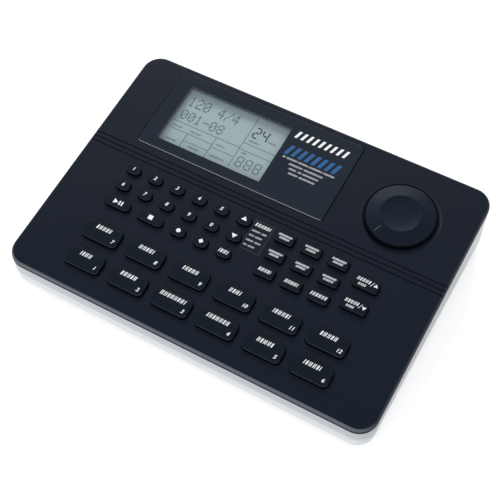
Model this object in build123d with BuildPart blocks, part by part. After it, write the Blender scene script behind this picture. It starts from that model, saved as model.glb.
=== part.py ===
"""Desktop drum machine: a wedge-shaped two-part case with pads, keys, a display and a volume dial.

Sizes are in millimetres and degrees. X runs to the right, Y to the rear and Z up. The origin lies on the
table under the middle of the case. A place on the sloping panel is given as "across", from the middle line
to the right, and "back", from the panel's front edge along the slope. Depths count from the panel's face.
"""

import os
from math import atan2, cos, degrees, radians, sin, sqrt, tan

from build123d import *

os.makedirs("parts", exist_ok=True)

# Case
case_width = 235.0
case_depth = 165.5
front_height = 21.5
panel_slope = 6.8
corner_radius = 11.5
rim_bevel = 1.0
panel_thickness = 2.4
skirt_wall = 2.2
seam_depth = 3.3
seam_step = 0.15
tongue_gap = 0.15
lower_wall = 2.2
floor_thickness = 2.2
band_height = 5.0
band_inset = 0.6

# Grooves across the panel
groove_count = 3
groove_pitch = 3.2
groove_width = 1.0
groove_depth = 0.6

# Clear distances between the rows on the panel, from its front edge to its rear edge
front_to_pads = 13.3
pads_to_keys = 12.6
keys_to_grooves = 4.65
grooves_to_lens = 4.85
lens_to_rear = 4.32

# Keys: caps stand through the panel, held under it by a flange
key_gap = 0.35
flange_gap = 0.15
flange_margin = 1.0
flange_thickness = 1.0
post_length = 0.7
post_share = 0.35
key_travel = 1.0
travel_spare = 0.3
cap_rise = 2.0
cap_bevel = 0.5
pads_to_side = 32.375
pads_per_row = 6
pad_gap = 5.73
pad_length = 11.8
pad_corner = 1.75
pad_bevel = 0.7
pad_row_pitch = 19.25
oval_width = 9.4
oval_length = 6.4
oval_corner = 1.85
ovals_per_row = 6
bar_gap = 5.5
key_row_pitch = 12.2
function_length = 7.0
function_corner = 0.6
function_gap = 5.4
ovals_to_function = 16.4
function_to_page = 6.5
page_width = 15.0
page_length = 7.2
page_to_pads_end = 1.0
page_step = 4.1
page_row_pitch = 15.15

# Contact mat and key board under the keys
mat_sheet = 0.8
mat_margin = 3.0
board_thickness = 1.6

# Display
lens_to_side = 26.1
lens_to_well = 15.4
lens_corner = 2.5
lens_thickness = 2.0
lens_proud = 0.5
lens_gap = 0.15
lens_bevel = 0.4
window_width = 71.3
window_to_lens_left = 9.85
window_to_lens_front = 7.15
window_to_lens_rear = 7.55
window_margin = 1.2
glass_margin = 3.5
glass_thickness = 2.8
glass_gap = 0.1
frame_lip = 1.0
frame_wall = 2.0

# Volume dial and its potentiometer
dial_to_side = 43.2
dial_before_lens_middle = 4.9
dial_radius = 20.4
dial_rise = 4.2
dial_edge_rise = 2.2
dial_bevel = 0.5
dish_radius = 12.0
dish_floor_radius = 8.5
dish_depth = 1.2
dial_web = 1.2
dial_skirt = 2.6
dial_gap = 0.35
well_radius = 23.8
well_rim = 2.3
well_depth = 0.8
hub_radius = 5.0
hub_gap = 0.5
hub_reach = 1.5
shaft_radius = 3.0
shaft_gap = 0.05
shaft_end_gap = 0.1
collar_wall = 2.0
pot_side = 16.0
pot_depth = 6.0
pot_thickness = 7.0

# Bosses that meet at the key board, and the case screws that go up through them
boss_to_side = 16.5
boss_to_front = 14.0
boss_to_rear = 16.67
boss_side = 9.0
top_boss_side = 7.0
screw_radius = 1.5
screw_gap = 0.15
screw_head_radius = 2.8
screw_head_height = 2.0
screw_head_gap = 0.3
screw_grip = 7.0
screw_bite = 3.6

# Feet
foot_height = 3.5
foot_side = 12.5
foot_to_side = 33.5
foot_to_front = 16.75
foot_bevel = 0.8
foot_recess = 0.8
foot_gap = 0.1

# Main board on the floor of the case
standoff_height = 3.5
standoff_side = 6.0
main_board_to_boss = 2.5
main_board_length = 66.0
board_gap = 0.3

# Rear sockets, all on one height over the main board
socket_panel_inset = 3.6
socket_panel_wall = 2.0
socket_recess_margin = 4.0
socket_recess_half = 9.6
socket_height = 9.2
hole_gap = 0.15
jack_bore_radius = 3.25
jack_bore_depth = 14.0
jack_bush_radius = 4.5
jack_nut_flats = 12.0
jack_nut_height = 1.6
jack_body_width = 14.0
jack_body_depth = 16.0
jack_body_over = 6.0
midi_hole_radius = 8.0
midi_slot_radius = 7.4
midi_core_radius = 6.1
midi_slot_depth = 6.0
midi_body_width = 18.0
midi_body_depth = 12.0
midi_body_over = 8.8
inlet_hole_radius = 4.6
inlet_bore_radius = 3.1
inlet_pin_radius = 1.0
inlet_bore_depth = 9.0
inlet_body_width = 10.0
inlet_body_depth = 13.0
inlet_body_over = 5.4
switch_travel = 4.0
switch_knob_width = 4.0
switch_knob_height = 3.0
switch_knob_reach = 2.6
switch_base_spare = 1.0
switch_base_depth = 2.0
switch_body_width = 14.0
switch_body_depth = 7.0
switch_body_over = 3.6
switch_gap = 0.25

# Ribbon between the two boards
ribbon_across = -40.0
ribbon_width = 24.0
ribbon_thickness = 0.9
ribbon_back_under_board = 84.0
ribbon_shift = 3.0

# Parts that stand on the main board: across, rearward, width, length, height
chip_places = (
    (-66.0, 36.0, 20.0, 14.0, 2.5),
    (-36.0, 40.0, 28.0, 10.0, 3.5),
    (2.0, 36.0, 24.0, 24.0, 3.0),
    (36.0, 44.0, 16.0, 8.0, 2.5),
    (58.0, 48.0, 12.0, 10.0, 2.5),
)
battery_to_board_side = 16.0
battery_rearward = 24.0
battery_radius = 10.0
battery_height = 4.2

# Planes and places that follow from the sizes
slope = radians(panel_slope)
panel = Plane(
    origin=(0, -case_depth / 2, front_height),
    x_dir=(1, 0, 0),
    z_dir=(0, -sin(slope), cos(slope)),
)
panel_up = Axis(panel.origin, panel.z_dir)
panel_length = case_depth / cos(slope)
rear_height = front_height + case_depth * tan(slope)
panel_underside = panel.offset(-panel_thickness)
seam_plane = panel.offset(-seam_depth)
flange_top_depth = panel_thickness + flange_gap
flange_bottom_depth = flange_top_depth + flange_thickness
post_bottom_depth = flange_bottom_depth + post_length
key_board_depth = post_bottom_depth + key_travel + travel_spare + mat_sheet
board_bottom_depth = key_board_depth + board_thickness
floor_top = foot_height + floor_thickness
band_top = foot_height + band_height
base_inset = seam_step + band_inset
room_inset = base_inset + lower_wall
main_board_top = floor_top + standoff_height + board_thickness
socket_axis_height = main_board_top + socket_height
socket_face = case_depth / 2 - socket_panel_inset
socket_back_face = socket_face - socket_panel_wall
main_board_rear = socket_back_face - board_gap
boss_across = case_width / 2 - boss_to_side
foot_across = case_width / 2 - foot_to_side
foot_apart = case_depth - 2 * foot_to_front
main_board_width = 2 * (boss_across - boss_side / 2 - main_board_to_boss)
socket_recess_width = main_board_width + 2 * socket_recess_margin

# Places across the panel: the pads fill its width, the oval keys fill their left half
pads_left = pads_to_side - case_width / 2
pad_pitch = (pad_gap - 2 * pads_left) / pads_per_row
pad_width = pad_pitch - pad_gap
key_pitch = (-pads_left - oval_width) / (ovals_per_row - 1)
bar_width = (2 * key_pitch + oval_width - bar_gap) / 2
page_across = -pads_left - page_to_pads_end - page_width / 2
function_left = ovals_to_function
function_right = page_across - page_width / 2 - function_to_page
function_width = (function_right - function_left - 2 * function_gap) / 3
function_pitch = function_width + function_gap

# Places back along the panel
pad_front_row = front_to_pads + pad_length / 2
key_front_row = pad_front_row + pad_row_pitch + pad_length / 2 + pads_to_keys + oval_length / 2
page_front_row = key_front_row + page_step
keys_rear = key_front_row + 2 * key_row_pitch + oval_length / 2
front_groove_back = keys_rear + keys_to_grooves + groove_width / 2
lens_front = front_groove_back + (groove_count - 1) * groove_pitch + groove_width / 2 + grooves_to_lens
lens_length = panel_length - lens_to_rear - lens_front
lens_back = lens_front + lens_length / 2
window_length = lens_length - window_to_lens_front - window_to_lens_rear
window_back = lens_front + window_to_lens_front + window_length / 2

# The lens ends beside the dial's well, and the window lies in the lens's left part
dial_across = case_width / 2 - dial_to_side
dial_back = lens_back - dial_before_lens_middle
lens_left = lens_to_side - case_width / 2
lens_width = dial_across - well_radius - lens_to_well - lens_left
lens_across = lens_left + lens_width / 2
window_across = lens_left + window_to_lens_left + window_width / 2

# Rear sockets from left to right, each with the gap before it as a share of the row's spare width
SOCKET_WIDTHS = {
    "jack": jack_body_width,
    "midi": midi_body_width,
    "switch": switch_body_width,
    "inlet": inlet_body_width,
}
SOCKET_ROW = (
    ("jack", 0),
    ("jack", 1),
    ("jack", 1),
    ("jack", 1),
    ("jack", 2),
    ("jack", 1),
    ("midi", 2),
    ("midi", 1),
    ("switch", 2),
    ("inlet", 1),
)
row_spare = main_board_width - sum(SOCKET_WIDTHS[kind] for kind, gap_share in SOCKET_ROW)
row_gap = row_spare / sum(gap_share for kind, gap_share in SOCKET_ROW)
socket_places = {kind: [] for kind in SOCKET_WIDTHS}
row_end = -main_board_width / 2
for kind, gap_share in SOCKET_ROW:
    row_end += gap_share * row_gap + SOCKET_WIDTHS[kind]
    socket_places[kind].append(row_end - SOCKET_WIDTHS[kind] / 2)
jack_places = socket_places["jack"]
midi_places = socket_places["midi"]
switch_across = socket_places["switch"][0]
inlet_across = socket_places["inlet"][0]

# Every key: its outline and its place on the panel
OUTLINES = {
    "pad": (pad_width, pad_length, pad_corner, pad_bevel),
    "oval": (oval_width, oval_length, oval_corner, cap_bevel),
    "bar": (bar_width, oval_length, oval_corner, cap_bevel),
    "function": (function_width, function_length, function_corner, cap_bevel),
    "page": (page_width, page_length, function_corner, cap_bevel),
}
key_rows = [key_front_row + row * key_row_pitch for row in range(3)]
key_columns = [pads_left + oval_width / 2 + column * key_pitch for column in range(ovals_per_row)]
keys = {}
for number in range(2 * pads_per_row):
    pad_across = pads_left + pad_width / 2 + (number % pads_per_row) * pad_pitch
    pad_back = pad_front_row + (number // pads_per_row) * pad_row_pitch
    keys[f"pad_{number + 1}"] = ("pad", pad_across, pad_back)
for number, column in enumerate(key_columns[:5]):
    keys[f"key_{number + 1}"] = ("oval", column, key_rows[2])
    keys[f"key_{(number + 6) % 10}"] = ("oval", column, key_rows[1])
keys["up_key"] = ("oval", key_columns[5], key_rows[2])
keys["down_key"] = ("oval", key_columns[5], key_rows[1])
keys["play_key"] = ("bar", pads_left + bar_width / 2, key_rows[0])
keys["stop_key"] = ("bar", key_columns[2] + (oval_width - bar_width) / 2, key_rows[0])
keys["a_key"] = ("oval", key_columns[3], key_rows[0])
keys["b_key"] = ("oval", key_columns[4], key_rows[0])
keys["fill_key"] = ("oval", key_columns[5], key_rows[0])
for number in range(9):
    function_across = function_left + function_width / 2 + (number % 3) * function_pitch
    keys[f"function_key_{number + 1}"] = ("function", function_across, key_rows[2 - number // 3])
keys["page_up_key"] = ("page", page_across, page_front_row + page_row_pitch)
keys["page_down_key"] = ("page", page_across, page_front_row)

field_left = min(across - OUTLINES[kind][0] / 2 for kind, across, back in keys.values())
field_right = max(across + OUTLINES[kind][0] / 2 for kind, across, back in keys.values())
field_front = min(back - OUTLINES[kind][1] / 2 for kind, across, back in keys.values())
field_rear = max(back + OUTLINES[kind][1] / 2 for kind, across, back in keys.values())
mat_width = field_right - field_left + 2 * (flange_margin + mat_margin)
mat_length = field_rear - field_front + 2 * (flange_margin + mat_margin)
mat_centre = ((field_left + field_right) / 2, (field_front + field_rear) / 2)
key_board_width = 2 * boss_across + top_boss_side


def panel_point(across, back, depth=0.0):
    """The point in space under a place on the panel."""
    return panel.from_local_coords((across, back, -depth))


def key_outline(kind, grow=0.0):
    """A key's outline, a rectangle with cut corners, grown by the same width on every side."""
    outline_width, outline_length, corner, _ = OUTLINES[kind]
    with BuildSketch() as outline:
        Rectangle(outline_width + 2 * grow, outline_length + 2 * grow)
        chamfer(outline.vertices(), corner + grow * (2 - sqrt(2)))
    return outline.sketch


def keep(piece, name):
    """Labels a finished piece and writes it."""
    piece.part.label = name
    export_step(piece.part, f"parts/{name}.step")


# Bosses stand upright, each at one distance from the middle. The front pair clamps the key board.
front_bosses = [(side * boss_across, panel_point(0, boss_to_front).Y) for side in (-1, 1)]
rear_bosses = [(side * boss_across, panel_point(0, panel_length - boss_to_rear).Y) for side in (-1, 1)]
board_underside = panel.offset(-board_bottom_depth)


def screw_seat(side_places):
    """Height at which the screw heads of one pair of bosses seat, a grip below where the bosses meet."""
    rearward = side_places[0][1] + case_depth / 2
    return front_height + rearward * tan(slope) - board_bottom_depth / cos(slope) - screw_grip


def block_outline(places, side):
    """Squares of one size at several places."""
    with BuildSketch() as outline:
        with Locations(*places):
            Rectangle(side, side)
    return outline.sketch


# Top shell: sloping panel with a short upright skirt
with BuildPart() as top_hollow:
    with BuildSketch(Plane.XY):
        RectangleRounded(
            case_width - 2 * skirt_wall, case_depth - 2 * skirt_wall, corner_radius - skirt_wall
        )
    extrude(amount=rear_height)
    split(bisect_by=panel_underside, keep=Keep.BOTTOM)

with BuildPart() as front_top_bosses:
    extrude(block_outline(front_bosses, top_boss_side), amount=rear_height)
    split(bisect_by=panel_underside, keep=Keep.BOTTOM)
    split(bisect_by=panel.offset(-key_board_depth), keep=Keep.TOP)

with BuildPart() as rear_top_bosses:
    extrude(block_outline(rear_bosses, top_boss_side), amount=rear_height)
    split(bisect_by=panel_underside, keep=Keep.BOTTOM)
    split(bisect_by=board_underside, keep=Keep.TOP)

with BuildPart() as top_shell:
    with BuildSketch(Plane.XY):
        RectangleRounded(case_width, case_depth, corner_radius)
    extrude(amount=rear_height)
    split(bisect_by=panel, keep=Keep.BOTTOM)
    chamfer(top_shell.faces().sort_by(panel_up)[-1].edges(), rim_bevel)
    split(bisect_by=seam_plane, keep=Keep.TOP)
    add(top_hollow.part, mode=Mode.SUBTRACT)
    # Collar that carries the potentiometer
    with BuildSketch(panel_underside):
        with Locations((dial_across, dial_back)):
            Rectangle(pot_side, pot_side)
            Rectangle(pot_side - 2 * collar_wall, pot_side - 2 * collar_wall, mode=Mode.SUBTRACT)
    extrude(amount=-(pot_depth - panel_thickness))
    add(front_top_bosses.part)
    add(rear_top_bosses.part)
    # Blind screw holes up into the bosses
    for side_places in (front_bosses, rear_bosses):
        with BuildSketch(Plane.XY.offset(screw_seat(side_places))):
            with Locations(*side_places):
                RegularPolygon(screw_radius + screw_gap, 6)
        extrude(amount=screw_grip + screw_bite + screw_gap, mode=Mode.SUBTRACT)
    # Key openings
    for kind in OUTLINES:
        with BuildSketch(panel):
            with Locations(*[(across, back) for name, across, back in keys.values() if name == kind]):
                add(key_outline(kind, key_gap))
        extrude(amount=-panel_thickness, mode=Mode.SUBTRACT)
    # Pocket and window of the display
    with BuildSketch(panel):
        with Locations((lens_across, lens_back)):
            RectangleRounded(lens_width + 2 * lens_gap, lens_length + 2 * lens_gap, lens_corner + lens_gap)
    extrude(amount=-(lens_thickness - lens_proud), mode=Mode.SUBTRACT)
    with BuildSketch(panel):
        with Locations((window_across, window_back)):
            Rectangle(window_width + 2 * window_margin, window_length + 2 * window_margin)
    extrude(amount=-panel_thickness, mode=Mode.SUBTRACT)
    # Dial well with its sloping rim, and the hole for the dial's hub
    with BuildSketch(panel):
        with Locations((dial_across, dial_back)):
            Circle(well_radius)
    extrude(amount=-well_depth, taper=degrees(atan2(well_rim, well_depth)), mode=Mode.SUBTRACT)
    with BuildSketch(panel):
        with Locations((dial_across, dial_back)):
            Circle(hub_radius + hub_gap)
    extrude(amount=-panel_thickness, mode=Mode.SUBTRACT)
    # Grooves from side to side
    with BuildSketch(panel):
        for number in range(groove_count):
            with Locations((0, front_groove_back + number * groove_pitch)):
                Rectangle(case_width, groove_width)
    extrude(amount=-groove_depth, mode=Mode.SUBTRACT)
keep(top_shell, "top_shell")

# Lower shell: upright walls over a band that turns in towards the floor, with a tongue inside the skirt
with BuildPart() as tongue:
    with BuildSketch(Plane.XY.offset(foot_height + floor_thickness)):
        RectangleRounded(
            case_width - 2 * (skirt_wall + tongue_gap),
            case_depth - 2 * (skirt_wall + tongue_gap),
            corner_radius - skirt_wall - tongue_gap,
        )
    extrude(amount=rear_height)
    split(bisect_by=panel.offset(-(panel_thickness + tongue_gap)), keep=Keep.BOTTOM)
    split(bisect_by=seam_plane, keep=Keep.TOP)

with BuildPart() as lower_bosses:
    extrude(block_outline(front_bosses + rear_bosses, boss_side), amount=rear_height)
    split(bisect_by=board_underside, keep=Keep.BOTTOM)
    split(bisect_by=Plane.XY.offset(foot_height), keep=Keep.TOP)

with BuildPart() as bottom_shell:
    with BuildSketch(Plane.XY.offset(foot_height)):
        RectangleRounded(
            case_width - 2 * base_inset, case_depth - 2 * base_inset, corner_radius - base_inset
        )
    extrude(amount=band_height, taper=-degrees(atan2(band_inset, band_height)))
    with BuildSketch(Plane.XY.offset(band_top)):
        RectangleRounded(
            case_width - 2 * seam_step, case_depth - 2 * seam_step, corner_radius - seam_step
        )
    extrude(amount=rear_height - band_top)
    split(bisect_by=seam_plane, keep=Keep.BOTTOM)
    add(tongue.part)
    with BuildSketch(Plane.XY.offset(floor_top)):
        RectangleRounded(
            case_width - 2 * room_inset, case_depth - 2 * room_inset, corner_radius - room_inset
        )
    extrude(amount=rear_height, mode=Mode.SUBTRACT)
    # Recessed panel for the sockets
    with BuildSketch(Plane.XZ.offset(-socket_back_face)):
        with Locations((0, socket_axis_height)):
            Rectangle(
                socket_recess_width + 2 * socket_panel_wall,
                2 * (socket_recess_half + socket_panel_wall),
            )
    extrude(amount=-(case_depth / 2 - room_inset - socket_back_face))
    with BuildSketch(Plane.XZ.offset(-socket_face)):
        with Locations((0, socket_axis_height)):
            Rectangle(socket_recess_width, 2 * socket_recess_half)
    extrude(amount=-socket_panel_inset, mode=Mode.SUBTRACT)
    with BuildSketch(Plane.XZ.offset(-socket_face)):
        with Locations(*[(across, socket_axis_height) for across in jack_places]):
            Circle(jack_bush_radius + hole_gap)
        with Locations(*[(across, socket_axis_height) for across in midi_places]):
            Circle(midi_hole_radius)
        with Locations((inlet_across, socket_axis_height)):
            Circle(inlet_hole_radius)
        with Locations((switch_across, socket_axis_height)):
            Rectangle(switch_knob_width + switch_travel + 2 * switch_gap, switch_knob_height + 2 * switch_gap)
    extrude(amount=socket_panel_wall, mode=Mode.SUBTRACT)
    # Standoffs for the main board
    with BuildSketch(Plane.XY.offset(floor_top)):
        with Locations((0, main_board_rear - main_board_length / 2)):
            with GridLocations(
                main_board_width - standoff_side, main_board_length - standoff_side, 2, 2
            ):
                Rectangle(standoff_side, standoff_side)
    extrude(amount=standoff_height)
    # Bosses, each with a deep hole for the screw's head and a narrow one for its shank
    add(lower_bosses.part)
    for side_places in (front_bosses, rear_bosses):
        with BuildSketch(Plane.XY.offset(foot_height)):
            with Locations(*side_places):
                Circle(screw_head_radius + screw_head_gap)
        extrude(amount=screw_seat(side_places) - foot_height, mode=Mode.SUBTRACT)
        with BuildSketch(Plane.XY.offset(screw_seat(side_places))):
            with Locations(*side_places):
                RegularPolygon(screw_radius + screw_gap, 6)
        extrude(amount=screw_grip + boss_side, mode=Mode.SUBTRACT)
    # Seats for the feet
    with BuildSketch(Plane.XY.offset(foot_height)):
        with GridLocations(2 * foot_across, foot_apart, 2, 2):
            Rectangle(foot_side + 2 * foot_gap, foot_side + 2 * foot_gap)
    extrude(amount=foot_recess, mode=Mode.SUBTRACT)
keep(bottom_shell, "bottom_shell")

# Rubber feet, set into the floor
with BuildPart() as rubber_feet:
    with BuildSketch(Plane.XY):
        with GridLocations(2 * foot_across, foot_apart, 2, 2):
            Rectangle(foot_side, foot_side)
    extrude(amount=foot_height + foot_recess)
    chamfer(rubber_feet.faces().group_by(Axis.Z)[0].edges(), foot_bevel)
keep(rubber_feet, "rubber_feet")

# Case screws with hexagonal heads, driven up from below, their threads left out
with BuildPart() as case_screws:
    for side_places in (front_bosses, rear_bosses):
        with BuildSketch(Plane.XY.offset(screw_seat(side_places))):
            with Locations(*side_places):
                RegularPolygon(screw_radius, 6)
        extrude(amount=screw_grip + screw_bite)
        with BuildSketch(Plane.XY.offset(screw_seat(side_places))):
            with Locations(*side_places):
                RegularPolygon(screw_head_radius, 6)
        extrude(amount=-screw_head_height)
keep(case_screws, "case_screws")

# Keys and pads
for key_name, (kind, across, back) in keys.items():
    cap_width, cap_length, cap_corner, bevel = OUTLINES[kind]
    with BuildPart() as key:
        with BuildSketch(panel.offset(-flange_top_depth)):
            with Locations((across, back)):
                add(key_outline(kind))
        extrude(amount=flange_top_depth + cap_rise)
        chamfer(key.faces().sort_by(panel_up)[-1].edges(), bevel)
        with BuildSketch(panel.offset(-flange_bottom_depth)):
            with Locations((across, back)):
                Rectangle(cap_width + 2 * flange_margin, cap_length + 2 * flange_margin)
        extrude(amount=flange_thickness)
        with BuildSketch(panel.offset(-post_bottom_depth)):
            with Locations((across, back)):
                Rectangle(cap_width * post_share, cap_length * post_share)
        extrude(amount=post_length)
    keep(key, key_name)

# Silicone contact mat under the keys' posts
with BuildPart() as key_mat:
    with BuildSketch(panel.offset(-key_board_depth)):
        with Locations(mat_centre):
            Rectangle(mat_width, mat_length)
    extrude(amount=mat_sheet)
keep(key_mat, "key_mat")

# Key board, clamped at its front corners between the bosses, with holes for the screws there
with BuildPart() as board_holes:
    with BuildSketch(Plane.XY):
        with Locations(*front_bosses):
            RegularPolygon(screw_radius + screw_gap, 6)
    extrude(amount=rear_height)

key_board_front = min(mat_centre[1] - mat_length / 2, boss_to_front - top_boss_side / 2)
key_board_rear = mat_centre[1] + mat_length / 2
with BuildPart() as key_board:
    with BuildSketch(panel.offset(-board_bottom_depth)):
        with Locations((0, (key_board_front + key_board_rear) / 2)):
            Rectangle(key_board_width, key_board_rear - key_board_front)
    extrude(amount=board_thickness)
    add(board_holes.part, mode=Mode.SUBTRACT)
keep(key_board, "key_board")

# Display lens, with a bevelled edge that stands a little proud
with BuildPart() as display_lens:
    with BuildSketch(panel.offset(lens_proud - lens_thickness)):
        with Locations((lens_across, lens_back)):
            RectangleRounded(lens_width, lens_length, lens_corner)
    extrude(amount=lens_thickness)
    chamfer(display_lens.faces().sort_by(panel_up)[-1].edges(), lens_bevel)
keep(display_lens, "display_lens")

# Frame under the panel that holds the display glass
glass_width = window_width + 2 * glass_margin
glass_length = window_length + 2 * glass_margin
with BuildPart() as lcd_frame:
    with BuildSketch(panel.offset(-(panel_thickness + frame_lip + glass_thickness))):
        with Locations((window_across, window_back)):
            Rectangle(
                glass_width + 2 * (glass_gap + frame_wall), glass_length + 2 * (glass_gap + frame_wall)
            )
    extrude(amount=frame_lip + glass_thickness)
    with BuildSketch(panel.offset(-(panel_thickness + frame_lip + glass_thickness))):
        with Locations((window_across, window_back)):
            Rectangle(glass_width + 2 * glass_gap, glass_length + 2 * glass_gap)
    extrude(amount=glass_thickness, mode=Mode.SUBTRACT)
    with BuildSketch(panel_underside):
        with Locations((window_across, window_back)):
            Rectangle(window_width, window_length)
    extrude(amount=-frame_lip, mode=Mode.SUBTRACT)
keep(lcd_frame, "lcd_frame")

with BuildPart() as lcd_glass:
    with BuildSketch(panel.offset(-(panel_thickness + frame_lip))):
        with Locations((window_across, window_back)):
            Rectangle(glass_width, glass_length)
    extrude(amount=-glass_thickness)
keep(lcd_glass, "lcd_glass")

# Dial: a turned disc that rises from its edge to a finger dish, with a hollow underside and a hub
dial_axis = Axis(panel_point(dial_across, dial_back), panel.z_dir)
dial_section = Plane(
    origin=panel_point(dial_across, dial_back),
    x_dir=panel.x_dir,
    z_dir=-panel.y_dir,
)
dial_bottom = dial_gap - well_depth
dish_bottom = dial_rise - dish_depth
web_bottom = dish_bottom - dial_web
with BuildPart() as volume_dial:
    with BuildSketch(dial_section):
        with BuildLine():
            Polyline(
                (0, web_bottom),
                (0, dish_bottom),
                (dish_floor_radius, dish_bottom),
                (dish_radius, dial_rise),
                (dial_radius - dial_bevel, dial_edge_rise),
                (dial_radius, dial_edge_rise - dial_bevel),
                (dial_radius, dial_bottom),
                (dial_radius - dial_skirt, dial_bottom),
                (dial_radius - dial_skirt, web_bottom),
                (hub_radius, web_bottom),
                (hub_radius, -hub_reach),
                (shaft_radius + shaft_gap, -hub_reach),
                (shaft_radius + shaft_gap, web_bottom),
                (0, web_bottom),
            )
        make_face()
    revolve(axis=dial_axis)
keep(volume_dial, "volume_dial")

# Shaft of the potentiometer, which turns with the dial
with BuildPart() as pot_shaft:
    with BuildSketch(panel.offset(-(pot_depth + pot_thickness / 2))):
        with Locations((dial_across, dial_back)):
            Circle(shaft_radius)
    extrude(amount=pot_depth + pot_thickness / 2 + web_bottom - shaft_end_gap)
keep(pot_shaft, "pot_shaft")

# Potentiometer, seated on the collar under the panel
with BuildPart() as volume_pot:
    with BuildSketch(panel.offset(-pot_depth)):
        with Locations((dial_across, dial_back)):
            Rectangle(pot_side, pot_side)
    extrude(amount=-pot_thickness)
    with BuildSketch(panel.offset(-pot_depth)):
        with Locations((dial_across, dial_back)):
            Circle(shaft_radius + shaft_gap)
    extrude(amount=-(pot_thickness / 2 + shaft_end_gap), mode=Mode.SUBTRACT)
keep(volume_pot, "volume_pot")

# Main board on its standoffs
with BuildPart() as main_board:
    with BuildSketch(Plane.XY.offset(main_board_top - board_thickness)):
        with Locations((0, main_board_rear - main_board_length / 2)):
            Rectangle(main_board_width, main_board_length)
    extrude(amount=board_thickness)
keep(main_board, "main_board")

# Chips and backup battery, standing on the main board
with BuildPart() as board_components:
    for across, rearward, chip_width, chip_length, chip_height in chip_places:
        with BuildSketch(Plane.XY.offset(main_board_top)):
            with Locations((across, rearward)):
                Rectangle(chip_width, chip_length)
        extrude(amount=chip_height)
    with BuildSketch(Plane.XY.offset(main_board_top)):
        with Locations((main_board_width / 2 - battery_to_board_side, battery_rearward)):
            Circle(battery_radius)
    extrude(amount=battery_height)
keep(board_components, "board_components")


def socket_bodies(places, body_width, body_depth, body_over):
    """Blocks behind the socket panel, standing on the main board, in the part that is open."""
    body_height = socket_height + body_over
    with BuildSketch(Plane.XZ.offset(-socket_back_face)) as outlines:
        with Locations(*[(across, main_board_top + body_height / 2) for across in places]):
            Rectangle(body_width, body_height)
    extrude(outlines.sketch, amount=body_depth)


# Jack sockets with their nuts
jack_front = socket_face + jack_nut_height
with BuildPart() as output_jacks:
    socket_bodies(jack_places, jack_body_width, jack_body_depth, jack_body_over)
    with BuildSketch(Plane.XZ.offset(-jack_front)):
        with Locations(*[(across, socket_axis_height) for across in jack_places]):
            Circle(jack_bush_radius)
    extrude(amount=jack_nut_height + socket_panel_wall)
    with BuildSketch(Plane.XZ.offset(-jack_front)):
        with Locations(*[(across, socket_axis_height) for across in jack_places]):
            RegularPolygon(jack_nut_flats / 2, 6, major_radius=False)
    extrude(amount=jack_nut_height)
    with BuildSketch(Plane.XZ.offset(-jack_front)):
        with Locations(*[(across, socket_axis_height) for across in jack_places]):
            Circle(jack_bore_radius)
    extrude(amount=jack_bore_depth, mode=Mode.SUBTRACT)
keep(output_jacks, "output_jacks")

# Five-pin round sockets behind their holes, each a core in a ring-shaped slot
with BuildPart() as midi_sockets:
    socket_bodies(midi_places, midi_body_width, midi_body_depth, midi_body_over)
    with BuildSketch(Plane.XZ.offset(-socket_back_face)):
        with Locations(*[(across, socket_axis_height) for across in midi_places]):
            Circle(midi_slot_radius)
            Circle(midi_core_radius, mode=Mode.SUBTRACT)
    extrude(amount=midi_slot_depth, mode=Mode.SUBTRACT)
keep(midi_sockets, "midi_sockets")

# Barrel inlet behind its hole, with its centre pin
with BuildPart() as power_inlet:
    socket_bodies((inlet_across,), inlet_body_width, inlet_body_depth, inlet_body_over)
    with BuildSketch(Plane.XZ.offset(-socket_back_face)):
        with Locations((inlet_across, socket_axis_height)):
            Circle(inlet_bore_radius)
            Circle(inlet_pin_radius, mode=Mode.SUBTRACT)
    extrude(amount=inlet_bore_depth, mode=Mode.SUBTRACT)
keep(power_inlet, "power_inlet")

# Slide switch: a body with a channel, and the slider that runs in it
switch_base_width = switch_knob_width + 2 * switch_base_spare
switch_base_height = switch_knob_height + 2 * switch_base_spare
switch_rest = switch_across - switch_travel / 2
with BuildPart() as power_switch_body:
    socket_bodies((switch_across,), switch_body_width, switch_body_depth, switch_body_over)
    with BuildSketch(Plane.XZ.offset(-socket_back_face)):
        with Locations((switch_across, socket_axis_height)):
            Rectangle(
                switch_base_width + switch_travel + 2 * switch_gap, switch_base_height + 2 * switch_gap
            )
    extrude(amount=switch_base_depth + 2 * switch_gap, mode=Mode.SUBTRACT)
keep(power_switch_body, "power_switch_body")

with BuildPart() as power_switch:
    with BuildSketch(Plane.XZ.offset(-(socket_back_face - switch_gap))):
        with Locations((switch_rest, socket_axis_height)):
            Rectangle(switch_base_width, switch_base_height)
    extrude(amount=switch_base_depth)
    with BuildSketch(Plane.XZ.offset(-(socket_face + switch_knob_reach))):
        with Locations((switch_rest, socket_axis_height)):
            Rectangle(switch_knob_width, switch_knob_height)
    extrude(amount=switch_knob_reach + socket_panel_wall + switch_gap)
keep(power_switch, "power_switch")

# Ribbon cable from the key board down to the main board, in a gentle S
ribbon_top = panel_point(ribbon_across, ribbon_back_under_board, board_bottom_depth)
ribbon_middle = Vector(ribbon_top.Y + ribbon_shift / 2, (main_board_top + ribbon_top.Z) / 2)
with BuildPart() as ribbon_cable:
    with BuildSketch(Plane.YZ.offset(ribbon_across)):
        with BuildLine() as ribbon_line:
            lower_bend = TangentArc(
                (ribbon_top.Y + ribbon_shift, main_board_top), ribbon_middle, tangent=(0, 1)
            )
            TangentArc(
                ribbon_middle, (ribbon_top.Y, ribbon_top.Z + ribbon_thickness), tangent=lower_bend % 1
            )
        trace(line_width=ribbon_thickness)
    extrude(amount=ribbon_width / 2, both=True)
    split(bisect_by=board_underside, keep=Keep.BOTTOM)
keep(ribbon_cable, "ribbon_cable")
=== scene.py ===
"""Looks of the desktop drum machine: keys, dial, display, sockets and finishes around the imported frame."""

from math import atan, cos, radians, sin

import bpy
from mathutils import Matrix, Vector


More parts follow.
